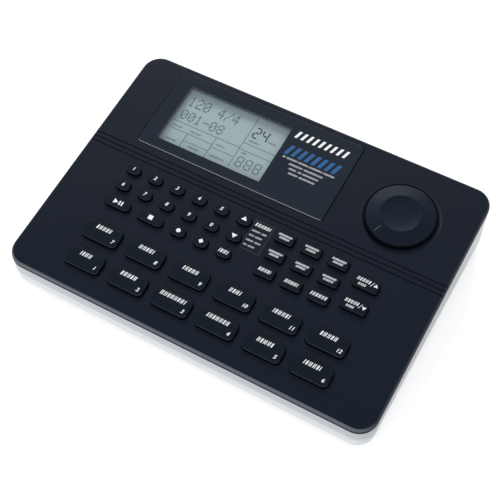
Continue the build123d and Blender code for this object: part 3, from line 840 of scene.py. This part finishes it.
def top_shell():
    """Black panel with its skirt, every opening, the display's pocket, the dial's well and the grooves."""
    shell = plate_of_case()
    lens_size = wider(LENS_SIZE, LENS_GAP)
    shallow = [*key_cutters(), well_cutter()]
    shallow.append(opening("lens_pocket", LENS_MIDDLE, lens_size, LENS_CORNER + LENS_GAP, -LENS_UNDERSIDE))
    for back in GROOVES:
        shallow.append(opening("groove", (0, back), (CASE_WIDTH + OVER, GROOVE_WIDTH), 0, GROOVE_DEPTH))
    under = PANEL_THICKNESS + OVER
    deep = [
        opening("window_opening", WINDOW_MIDDLE, wider(WINDOW_SIZE, WINDOW_MARGIN), 0, under),
        new_disc("hub_hole", HUB_HOLE, -under, OVER, place=DIAL_PLACE),
    ]
    for cutter in (joined("shallow_cuts", shallow), joined("deep_cuts", deep)):
        cutter.data.transform(SLOPED)
        cut(shell, cutter)
    for face in shell.data.polygons:
        place = SLOPED_BACK @ face.center
        # The well's sloping rim takes the finish with the painted sheen
        if in_well_rim(place):
            face.material_index = 2
        elif abs(face.normal.z) < STEEP and in_window(place) and place.z > -PANEL_THICKNESS - 1:
            face.material_index = 3
    smooth(shell, SHELL_SMOOTH)
    inside = [collar()]
    for side in (-1, 1):
        inside += [boss(side * BOSS_ACROSS, back, depth) for back, depth in BOSSES]
    for piece in inside:
        paint(piece, "panel_black")
    return joined("top_shell_cover", [shell, *inside])


carry(top_shell(), TO_METRES, "case", "panel_black", "top_shell")


# ---- volume dial

DIAL_RADIUS = 20.4
DIAL_EDGE = 2.2
DIAL_TOP = 4.2
DIAL_BOTTOM = -0.45
DIAL_BEVEL = 0.5
RING_RADIUS = DIAL_RADIUS - DIAL_BEVEL
FOOT_RADIUS = 21.45
FOOT_TOP = 1.9
DISH_RADIUS = 12.0
DISH_DEPTH = 1.2
DISH_RINGS = (0.97, 0.92, 0.84, 0.74, 0.62, 0.46, 0.3, 0.12)
DISH_LIP = 0.25
WEB_BOTTOM = 1.8
SKIRT = 2.6
HUB_RADIUS = 5.0
HUB_BOTTOM = -1.5
SHAFT_HOLE = 3.05
POINTER_ANGLE = 241.0
POINTER_MIDDLE = 16.4
POINTER_SIZE = (4.6, 0.42)


def dish_lip(dial):
    """A test for the edge round the dish."""

    def test(edge):
        return all(
            abs(end.xy.length - DISH_RADIUS) < NEAR and abs(end.z - DIAL_TOP) < NEAR
            for end in edge_ends(dial, edge)
        )

    return test


def pointer():
    """The line on the dial's ring, which shows where it is turned to."""
    fall = (DIAL_TOP - DIAL_EDGE) / (RING_RADIUS - DISH_RADIUS)
    line = new_block("pointer", POINTER_SIZE, -INK / 2, INK / 2)
    line.data.transform(
        Matrix.Rotation(radians(POINTER_ANGLE), 4, "Z")
        @ Matrix.Translation((POINTER_MIDDLE, 0, DIAL_EDGE + (RING_RADIUS - POINTER_MIDDLE) * fall))
        @ Matrix.Rotation(atan(fall), 4, "Y")
    )
    paint(line, "pointer_grey")
    return line


def volume_dial():
    """A turned dial: a ring that rises to a finger dish, over a foot painted near black as the shade in the
    gap round it, hollow below, with a hub.
    """
    dial = new_disc("volume_dial_cap", DIAL_RADIUS, DIAL_BOTTOM, DIAL_EDGE)
    round_edges(dial, "faces", level_face(DIAL_EDGE, 1), DIAL_BEVEL, 4)
    pick(dial, "faces", level_face(DIAL_EDGE, 1))
    push(DIAL_TOP - DIAL_EDGE, DISH_RADIUS / RING_RADIUS, DISH_RADIUS / RING_RADIUS)
    wide, deep = 1.0, 0.0
    for share in DISH_RINGS:
        depth = DISH_DEPTH * (1 - share**3)
        push(deep - depth, share / wide, share / wide)
        wide, deep = share, depth
    leave_mesh()
    pick(dial, "faces", level_face(DIAL_BOTTOM, -1))
    bpy.ops.mesh.inset(thickness=SKIRT)
    push(WEB_BOTTOM - DIAL_BOTTOM)
    bpy.ops.mesh.inset(thickness=DIAL_RADIUS - SKIRT - HUB_RADIUS)
    push(HUB_BOTTOM - WEB_BOTTOM)
    bpy.ops.mesh.inset(thickness=HUB_RADIUS - SHAFT_HOLE)
    push(WEB_BOTTOM - HUB_BOTTOM)
    leave_mesh()
    round_edges(dial, "edges", dish_lip(dial), DISH_LIP, 3)
    paint(dial, "dial_black")
    smooth(dial)
    # The foot is painted near black as the shade in the gap between dial and well
    foot = tube("dial_foot_painted_shade", FOOT_RADIUS, DIAL_RADIUS - SINK, DIAL_BOTTOM, FOOT_TOP, 96, "dial_foot_painted_shade")
    return joined("volume_dial_cap", [dial, foot, pointer()])


carry(volume_dial(), PANEL @ Matrix.Translation((*DIAL_PLACE, 0)), "dial", "dial_black", "volume_dial")


# ---- display lens and its printing

LENS_TOP = 0.5
LENS_BEVEL = 0.35
PANE_GAP = 0.02
WINDOW_SKIN = 0.15
WINDOW_CORNER = 0.4
# Bevel faces that look more than this far up and this far forward take the painted highlight
LENS_UP = 0.1
LENS_FORWARD = -0.3
MARKS_MIDDLE = 11.2
MARK_LEAN = 0.32
FINE_LENGTH = 1.25

# Rows of bold strokes: how many, the first one's place, pitch, place up the slope, width, length, finish
BOLD_ROWS = (
    (9, -16.0, 4.0, 152.15, 1.7, 5.3, "print_white"),
    (8, -15.7, 4.48, 140.15, 2.4, 7.2, "print_blue"),
)

# Rows of fine words: place up the slope, and the width of each word
FINE_ROWS = (
    (134.45, (1.8, 7.0, 6.4, 8.4, 7.2)),
    (131.25, (9.0, 12.6)),
    (128.2, (5.0, 2.4, 10.4)),
    (125.2, (6.0, 10.2)),
)


def display_lens():
    """The lens: dark printed surround with a painted highlight on its front edge, and a clear pane over the
    window.
    """
    surround = new_block("display_lens_printed", LENS_SIZE, LENS_UNDERSIDE, LENS_TOP, LENS_MIDDLE)
    round_corners(surround, LENS_CORNER, CORNER_STEPS)
    round_edges(surround, "faces", level_face(LENS_TOP, 1), LENS_BEVEL, 2)
    paint(surround, "lens_dark", "lens_edge_painted_highlight", "window_grey")
    # Only the front-facing bevel takes the painted highlight
    for face in surround.data.polygons:
        if LENS_UP < face.normal.z < FLAT and face.normal.y < LENS_FORWARD:
            face.material_index = 1
    window = new_block("window", WINDOW_SIZE, LENS_UNDERSIDE - OVER, LENS_TOP + OVER, WINDOW_MIDDLE)
    round_corners(window, WINDOW_CORNER, 3)
    relief_size = wider(WINDOW_SIZE, WINDOW_MARGIN)
    skin = LENS_TOP - WINDOW_SKIN
    cut(surround, window)
    cut(surround, new_block("window_relief", relief_size, LENS_UNDERSIDE - OVER, skin, WINDOW_MIDDLE))
    for face in surround.data.polygons:
        if abs(face.normal.z) < STEEP and in_window(face.center):
            face.material_index = 2
    smooth(surround)
    pane = new_block("pane", wider(WINDOW_SIZE, -PANE_GAP), skin, LENS_TOP, WINDOW_MIDDLE)
    round_corners(pane, WINDOW_CORNER, 3)
    paint(pane, "lens_clear")
    return joined("display_lens_printed", [surround, pane])


def lens_print():
    """Generic marks beside the window: white strokes, blue strokes and four rows of fine strokes."""
    marks = []
    for count, first, pitch, back, width, length, finish in BOLD_ROWS:
        for number in range(count):
            across = MARKS_MIDDLE + first + number * pitch
            marks.append(printed("bar", across, back, width, length, LENS_TOP, MARK_LEAN, finish=finish))
    for back, widths in FINE_ROWS:
        reach = sum(widths) + WORD_GAP * FINE_LENGTH * (len(widths) - 1)
        marks += pale_words(MARKS_MIDDLE - reach / 2, back, widths, FINE_LENGTH, LENS_TOP)
    return joined("display_marks", marks)


carry(display_lens(), PANEL, "case", "lens_clear", "display_lens")
carry(lens_print(), PANEL, "case", None)


# ---- figures on the display

# The figures' plane, and their rear left corner, from which they are placed to the right and down
GLASS_TOP = -3.4
FIGURES_LEFT = WINDOW_MIDDLE[0] - WINDOW_SIZE[0] / 2 - 0.6
FIGURES_REAR = WINDOW_MIDDLE[1] + WINDOW_SIZE[1] / 2 + 0.9
LCD_LINE = 0.45
CELL_SHARE = 0.92
BAR_GAP = 0.6
SMALL_PITCH = 1.15
SMALL_START = 0.5
SMALL_WIDTHS = (0.5, 0.8, 0.8)
SMALL_LENGTH = 1.2
SMALL_LEAN = 0.1

# Each dot-matrix figure: the dots of its rows, from the top
DOTS = {
    "0": "01110 10001 10011 10101 11001 10001 01110",
    "1": "00100 01100 00100 00100 00100 00100 01110",
    "2": "01110 10001 00001 00110 01000 10000 11111",
    "4": "00010 00110 01010 10010 11111 00010 00010",
    "8": "01110 10001 10001 01110 10001 10001 01110",
    "/": "00001 00001 00010 00100 01000 10000 10000",
    "-": "00000 00000 00000 11111 00000 00000 00000",
    " ": "",
}

# Each bar of a seven-bar figure: its place across and up, as shares, and whether it lies level
SEGMENTS = {
    "a": (0.5, 1.0, True), "d": (0.5, 0.0, True), "g": (0.5, 0.5, True),
    "b": (1.0, 0.75, False), "c": (1.0, 0.25, False),
    "e": (0.0, 0.25, False), "f": (0.0, 0.75, False),
}
LIT = {"2": "abged", "4": "fgbc", "8": "abcdefg"}

# Rows of figures: text, place right and down, width, length and pitch, and for bars their width and finish
DOT_ROWS = (("120 4/4", 3.6, 5.0, 4.3, 7.8, 5.15), ("001-08", 3.6, 16.1, 4.3, 7.2, 5.15))
BAR_ROWS = (
    ("24", 51.2, 7.9, 3.6, 7.6, 5.6, 1.0, "lcd_dark_ink"),
    ("888", 51.6, 31.2, 3.6, 7.0, 6.0, 0.8, "lcd_ink"),
)

# Level and upright lines, and small words: place right and down, and length
LEVEL_LINES = (
    (25.35, 25.7, 46.5), (59.6, 21.2, 22.0), (59.6, 26.3, 22.0),
    (17.1, 31.4, 30.0), (23.7, 36.8, 17.4), (40.6, 33.2, 15.9),
)
UPRIGHT_LINES = ((48.6, 21.0, 39.0), (15.0, 36.65, 10.5), (32.4, 33.8, 16.2))
SMALL_WORDS = (
    (64.9, 14.6, 5.8), (54.8, 18.5, 8.3), (53.3, 28.3, 5.3), (19.8, 29.0, 9.0), (39.9, 38.6, 11.4),
    (6.5, 29.0, 7.0), (8.0, 39.4, 9.0), (24.0, 39.4, 9.0), (37.5, 30.2, 6.0),
)


def lcd_mark(right, down, width, length, finish="lcd_ink", lean=0.0):
    """One dark field of the display."""
    across, back = FIGURES_LEFT + right, FIGURES_REAR - down
    return printed("bar", across, back, width, length, GLASS_TOP + INK / 2, lean, finish=finish)


def dot_row(text, left, top, width, length, pitch):
    """A row of dot-matrix figures."""
    cell, step = width / 5, length / 7
    marks = []
    for place, letter in enumerate(text):
        for row, line in enumerate(DOTS[letter].split()):
            for column, lit in enumerate(line):
                if lit == "1":
                    right = left + place * pitch + (column + 0.5) * cell
                    down = top + (row + 0.5) * step
                    marks.append(lcd_mark(right, down, cell * CELL_SHARE, step * CELL_SHARE))
    return marks


def segment_figures(text, left, top, width, length, pitch, stroke, finish):
    """A row of seven-bar figures."""
    marks = []
    for place, letter in enumerate(text):
        for part in LIT[letter]:
            across, height, level = SEGMENTS[part]
            right = left + place * pitch + across * width
            down = top + (1 - height) * length
            gap = BAR_GAP * stroke
            size = (width - 2 * gap, stroke) if level else (stroke, length / 2 - gap)
            marks.append(lcd_mark(right, down, *size, finish))
    return marks


def display_figures():
    """Lines, figures and small fields of the display."""
    marks = [lcd_mark(right, down, length, LCD_LINE) for right, down, length in LEVEL_LINES]
    marks += [lcd_mark(right, down, LCD_LINE, length) for right, down, length in UPRIGHT_LINES]
    for row in DOT_ROWS:
        marks += dot_row(*row)
    for row in BAR_ROWS:
        marks += segment_figures(*row)
    for right, down, width in SMALL_WORDS:
        for part in range(int(width / SMALL_PITCH)):
            place = right - width / 2 + part * SMALL_PITCH + SMALL_START
            marks.append(lcd_mark(place, down, SMALL_WIDTHS[part % 3], SMALL_LENGTH, lean=SMALL_LEAN))
    return joined("display_figures", marks)


carry(display_figures(), PANEL, "case", None)


# ---- rear sockets, switch, screws and feet

# Sockets are modelled upright, with heights from their faces. A shield or sleeve has its outer and inner
# radius, bottom and top, and a pin its radius, bottom and top.
SOCKET_FACE = 79.15
SOCKET_WALL = 2.0
SOCKET_HEIGHT = 20.0
SOCKET_CORNER = 0.4
BOARD_TOP = 10.8

JACKS = (-87.0, -69.333, -51.667, -34.0, -12.667, 5.0)
JACK_BODY = (14.0, 15.2, 16.0)
JACK_BORE = 3.25
JACK_DEPTH = 12.5
JACK_BUSH = 4.5
NUT_RADIUS = 6.928
BUSH_TOP = 1.6
NUT_TOP = 1.3

MIDI_SOCKETS = (28.333, 50.0)
MIDI_BODY = (18.0, 18.0, 12.0)
MIDI_SLOT = 7.4
MIDI_CORE = 6.1
MIDI_SLOT_BOTTOM = -8.0
MIDI_SHIELD = (MIDI_SLOT - 0.05, MIDI_SLOT - 0.4, -7.0, -2.4)
PIN_CIRCLE = 4.4
PIN_ANGLES = (180, 225, 270, 315, 360)
PIN_HOLE = 0.75
PIN_HOLE_BOTTOM = -6.0

INLET = 89.0
INLET_BODY = (10.0, 14.6, 13.0)
INLET_BORE = 3.1
INLET_DEPTH = 11.0
INLET_PIN = (1.0, -11.2, -2.6)
INLET_PIN_TIP = 0.4
INLET_SLEEVE = (INLET_BORE - 0.02, INLET_BORE - 0.3, -10.5, -2.5)

SWITCH_REST = 71.333
SLIDER_SIZE = (6.0, 5.0)
SLIDER_BOTTOM = -4.25
SLIDER_TOP = -2.25
KNOB_SIZE = (4.0, 3.0)
KNOB_BOTTOM = -2.4
KNOB_REACH = 2.6
KNOB_GROOVES = (-1.4, -0.7, 0.0, 0.7, 1.4)
KNOB_GROOVE_SIZE = (0.4, 4.0)
KNOB_GROOVE_DEPTH = 0.4

SCREW_BACKS = (-68.85, 66.19)
HEAD_HEIGHT = 2.0
HEAD_RADIUS = 2.8
HEAD_EDGE = 0.8
CROSS_SIZES = ((3.0, 0.7), (0.7, 3.0))
CROSS_DEPTH = 0.8
SHANK_RADIUS = 1.45

# A foot: its side, how far it reaches up into its seat, its corners and edge, and the dish in its sole
FOOT_SIDE = 12.5
FOOT_REACH = 4.3
FOOT_CORNER = 3.0
FOOT_EDGE = 0.8
SOLE_RIM = 1.6
SOLE_DISH = 0.35
SOLE_SHARE = 0.95
FOOT_ACROSS = 84.0
FOOT_BACK = 66.0


def facing_rear(across):
    """Turns a socket that is modelled upright so that it looks out of the rear, at its place in the row."""
    return Matrix.Translation((across, SOCKET_FACE, SOCKET_HEIGHT)) @ Matrix.Rotation(radians(-90), 4, "X")


def socket_body(name, width, length, depth):
    """The block behind the socket panel, standing on the main board."""
    middle = (0, SOCKET_HEIGHT - BOARD_TOP - length / 2)
    body = new_block(name, (width, length), -SOCKET_WALL - depth, -SOCKET_WALL, middle)
    round_corners(body, SOCKET_CORNER, 2)
    paint(body, "socket_black")
    return body


def output_jack():
    """A 6.35 mm jack socket: body, plated bush and hexagonal nut."""
    body = socket_body("jack_body", *JACK_BODY)
    cut(body, new_disc("bore", JACK_BORE, -JACK_DEPTH, 0, 48))
    smooth(body)
    bush = tube("jack_bush", JACK_BUSH, JACK_BORE, -SOCKET_WALL, BUSH_TOP)
    nut = tube("jack_nut", NUT_RADIUS, JACK_BUSH + SLACK, 0, NUT_TOP, 6)
    return joined("output_jack", [body, bush, nut])


def midi_socket():
    """A five-pin round socket: a core in a ring-shaped slot, with its pin holes and metal shield."""
    body = socket_body("midi_body", *MIDI_BODY)
    slot = new_disc("midi_slot", MIDI_SLOT, MIDI_SLOT_BOTTOM, OVER, 64)
    cut(slot, new_disc("midi_core", MIDI_CORE, MIDI_SLOT_BOTTOM - OVER, 2 * OVER, 64))
    cut(body, slot)
    holes = []
    for angle in PIN_ANGLES:
        place = (PIN_CIRCLE * cos(radians(angle)), PIN_CIRCLE * sin(radians(angle)))
        holes.append(new_disc("pin_hole", PIN_HOLE, PIN_HOLE_BOTTOM, OVER, 16, place))
    cut(body, joined("pin_holes", holes))
    smooth(body)
    return joined("midi_socket", [body, tube("midi_shield", *MIDI_SHIELD, 64)])


def power_inlet():
    """A barrel inlet with its centre pin and its sleeve."""
    body = socket_body("inlet_body", *INLET_BODY)
    cut(body, new_disc("inlet_bore", INLET_BORE, -INLET_DEPTH, 0, 48))
    pin = new_disc("inlet_pin", *INLET_PIN, 24)
    round_edges(pin, "faces", level_face(INLET_PIN[-1], 1), INLET_PIN_TIP, 3)
    paint(pin, "metal_grey")
    for part in (body, pin):
        smooth(part)
    return joined("power_inlet_socket", [body, pin, tube("inlet_sleeve", *INLET_SLEEVE)])


def switch_knob():
    """The slide switch's knob, with ribs for a fingertip, on its slider."""
    slider = new_block("power_switch_knob", SLIDER_SIZE, SLIDER_BOTTOM, SLIDER_TOP)
    knob = new_block("knob", KNOB_SIZE, KNOB_BOTTOM, KNOB_REACH)
    round_corners(knob, 0.3, 2)
    low, high = KNOB_REACH - KNOB_GROOVE_DEPTH, KNOB_REACH + KNOB_GROOVE_DEPTH
    grooves = [new_block("groove", KNOB_GROOVE_SIZE, low, high, (place, 0)) for place in KNOB_GROOVES]
    cut(knob, joined("grooves", grooves))
    for part in (slider, knob):
        paint(part, "key_black")
        smooth(part)
    return joined("power_switch_knob", [slider, knob])


def case_screw(bottom, top):
    """A pan-head screw with a cross recess, up through its boss from below."""
    head = new_disc("screw_head", HEAD_RADIUS, bottom, bottom + HEAD_HEIGHT, 48)
    round_edges(head, "faces", level_face(bottom, -1), HEAD_EDGE, 5)
    for size in CROSS_SIZES:
        cut(head, new_block("cross", size, bottom - CROSS_DEPTH, bottom + CROSS_DEPTH))
    shank = new_disc("screw_shank", SHANK_RADIUS, bottom + HEAD_HEIGHT, top, 24)
    for part in (head, shank):
        paint(part, "screw_steel")
        smooth(part)
    return joined("case_screw", [head, shank])


def case_screws():
    """The four screws, each as long as the frame's own."""
    screws = []
    for back in SCREW_BACKS:
        corners = nodes["case_screws"].data.vertices
        heights = [corner.co.z / MM for corner in corners if (corner.co.y > 0) == (back > 0)]
        for side in (-1, 1):
            screw = case_screw(min(heights), max(heights))
            screw.data.transform(Matrix.Translation((side * BOSS_ACROSS, back, 0)))
            screws.append(screw)
    return joined("case_screw_set", screws)


def rubber_foot():
    """A rubber foot with round corners and a shallow dish in its sole, up into its seat in the floor."""
    foot = new_block("foot", (FOOT_SIDE, FOOT_SIDE), 0, FOOT_REACH)
    round_corners(foot, FOOT_CORNER, 6)
    round_edges(foot, "faces", level_face(0, -1), FOOT_EDGE, 4)
    pick(foot, "faces", level_face(0, -1))
    bpy.ops.mesh.inset(thickness=SOLE_RIM)
    push(SOLE_DISH, SOLE_SHARE, SOLE_SHARE)
    leave_mesh()
    paint(foot, "rubber_black")
    smooth(foot)
    return foot


def repeated(name, master, places):
    """Copies of one piece at several places, as one piece."""
    copies = [copy_of(master, name, place) for place in places]
    bpy.data.objects.remove(master)
    return joined(name, copies)


jacks = repeated("output_jack_sockets", output_jack(), map(facing_rear, JACKS))
carry(jacks, TO_METRES, "case", "socket_black", "output_jacks")
midi = repeated("midi_socket_pair", midi_socket(), map(facing_rear, MIDI_SOCKETS))
carry(midi, TO_METRES, "case", "socket_black", "midi_sockets")
carry(power_inlet(), TO_METRES @ facing_rear(INLET), "case", "socket_black", "power_inlet")
carry(switch_knob(), TO_METRES @ facing_rear(SWITCH_REST), "switch_slider", "key_black", "power_switch")
carry(case_screws(), TO_METRES, "case", "screw_steel", "case_screws")
seats = [(side * FOOT_ACROSS, end * FOOT_BACK, 0) for side in (-1, 1) for end in (-1, 1)]
feet = repeated("rubber_foot_set", rubber_foot(), map(Matrix.Translation, seats))
carry(feet, TO_METRES, "case", "rubber_black", "rubber_feet")


# ---- printing on the panel

LIST_SIDES = (1.05, 13.3)
LIST_ENDS = (88.4, 68.5)
LIST_LINE = 0.25
LIST_ROWS = ((5.6, 3.2), (3.0, 4.4), (4.6, 3.6), (2.2, 4.2))
LIST_HEAD = (86.0, 9.6, 2.3)
LIST_TOP_ROW = 81.6
LIST_PITCH = 3.4
LIST_MARGIN = 1.0
LIST_LENGTH = 1.15


def panel_print():
    """The list beside the arrow keys: a thin frame, one bold row and four fine rows."""
    left, right = LIST_SIDES
    rear, front = LIST_ENDS
    across, back = (left + right) / 2, (front + rear) / 2
    frame_bars = [(across, end, right - left, LIST_LINE) for end in LIST_ENDS]
    frame_bars += [(side, back, LIST_LINE, rear - front) for side in LIST_SIDES]
    marks = [printed("bar", *bar, 0, 0, finish="print_grey") for bar in frame_bars]
    marks += word(across, *LIST_HEAD, 0, start=2)
    for number, widths in enumerate(LIST_ROWS):
        back = LIST_TOP_ROW - number * LIST_PITCH
        marks += pale_words(left + LIST_MARGIN, back, widths, LIST_LENGTH, 0)
    return joined("panel_print", marks)


carry(panel_print(), PANEL, "case", None)
for master in masters.values():
    bpy.data.objects.remove(master)


# ---- floor, light and camera

WHITE = (1, 1, 1, 1)
ROOM_COLOUR = (0.96, 0.98, 1.0, 1)
ROOM_LIGHT = 0.62
FLOOR_COLOUR = (0.72, 0.72, 0.72, 1)
FLOOR_LIFT = 0.52
FLOOR_SIDE = 8.0
FLOOR_DEPTH = 0.00005


def light_path(tree):
    """1 for rays that should see white: from the camera, from gloss and through clear pieces."""
    path = add(tree, "LightPath", {})
    either = {0: path["Is Camera Ray"], 1: path["Is Glossy Ray"]}
    seen = add(tree, "Math", either, operation="MAXIMUM")["Value"]
    return add(tree, "Math", {0: seen, 1: path["Is Transmission Ray"]}, operation="MAXIMUM")["Value"]


def pale_world():
    """A pale room, white where it is seen."""
    world = bpy.data.worlds.new("pale_room")
    bpy.context.scene.world = world
    world.use_nodes = True
    tree = world.node_tree
    seen = tree.nodes["Background"]
    feed(tree, seen, {"Color": WHITE, "Strength": 1.0})
    lighting = add(tree, "Background", {"Color": ROOM_COLOUR, "Strength": ROOM_LIGHT})["Background"]
    both = {"Fac": light_path(tree), 1: lighting, 2: seen.outputs["Background"]}
    show(tree, "World Output", add(tree, "MixShader", both)["Shader"])


def pale_floor():
    """A white floor that keeps the shadow."""
    select()
    bpy.ops.mesh.primitive_plane_add(size=FLOOR_SIDE, location=(0, 0, -FLOOR_DEPTH))
    floor = settle("floor")
    tree, shader = new_finish("floor_white")
    tree.nodes.remove(shader)
    matte = add(tree, "BsdfDiffuse", {"Color": FLOOR_COLOUR})["BSDF"]
    lift = add(tree, "Math", {0: light_path(tree), 1: FLOOR_LIFT}, operation="MULTIPLY")["Value"]
    glow = add(tree, "Emission", {"Strength": lift})["Emission"]
    show(tree, "Material Output", add(tree, "AddShader", {0: matte, 1: glow})["Shader"])
    paint(floor, "floor_white")


def soft_light(name, place, aim, width, height, power):
    """A large soft lamp."""
    lamp = bpy.data.lights.new(name, "AREA")
    lamp.shape = "RECTANGLE"
    lamp.size = width
    lamp.size_y = height
    lamp.energy = power
    holder = into_scene(name, lamp)
    holder.location = place
    holder.rotation_euler = (Vector(aim) - Vector(place)).to_track_quat("-Z", "Y").to_euler()


pale_world()
pale_floor()
soft_light("rear_left_softbox", (-0.70, 1.15, 0.95), (-0.03, 0.02, 0.02), 1.2, 0.45, 18.0)
soft_light("front_left_softbox", (-0.36, -1.25, 0.42), (0.0, -0.05, 0.02), 1.2, 0.4, 6.0)
soft_light("front_softbox", (0.9, -1.3, 1.0), (0.0, -0.05, 0.0), 1.2, 0.8, 5.0)

# The camera's axes, to its right, up and back, are the columns
CAMERA_AXES = Matrix(((0.8726, -0.4039, 0.2747), (0.4885, 0.7158, -0.4992), (0.0050, 0.5698, 0.8218)))
camera = into_scene("camera", bpy.data.cameras.new("camera"))
camera.data.sensor_width = 36.0
camera.data.lens = 79.2
camera.data.clip_start = 0.01
camera.location = (0.1807, -0.3285, 0.5476)
camera.rotation_euler = CAMERA_AXES.to_euler()
bpy.context.scene.camera = camera
bpy.context.scene.view_settings.view_transform = "Standard"
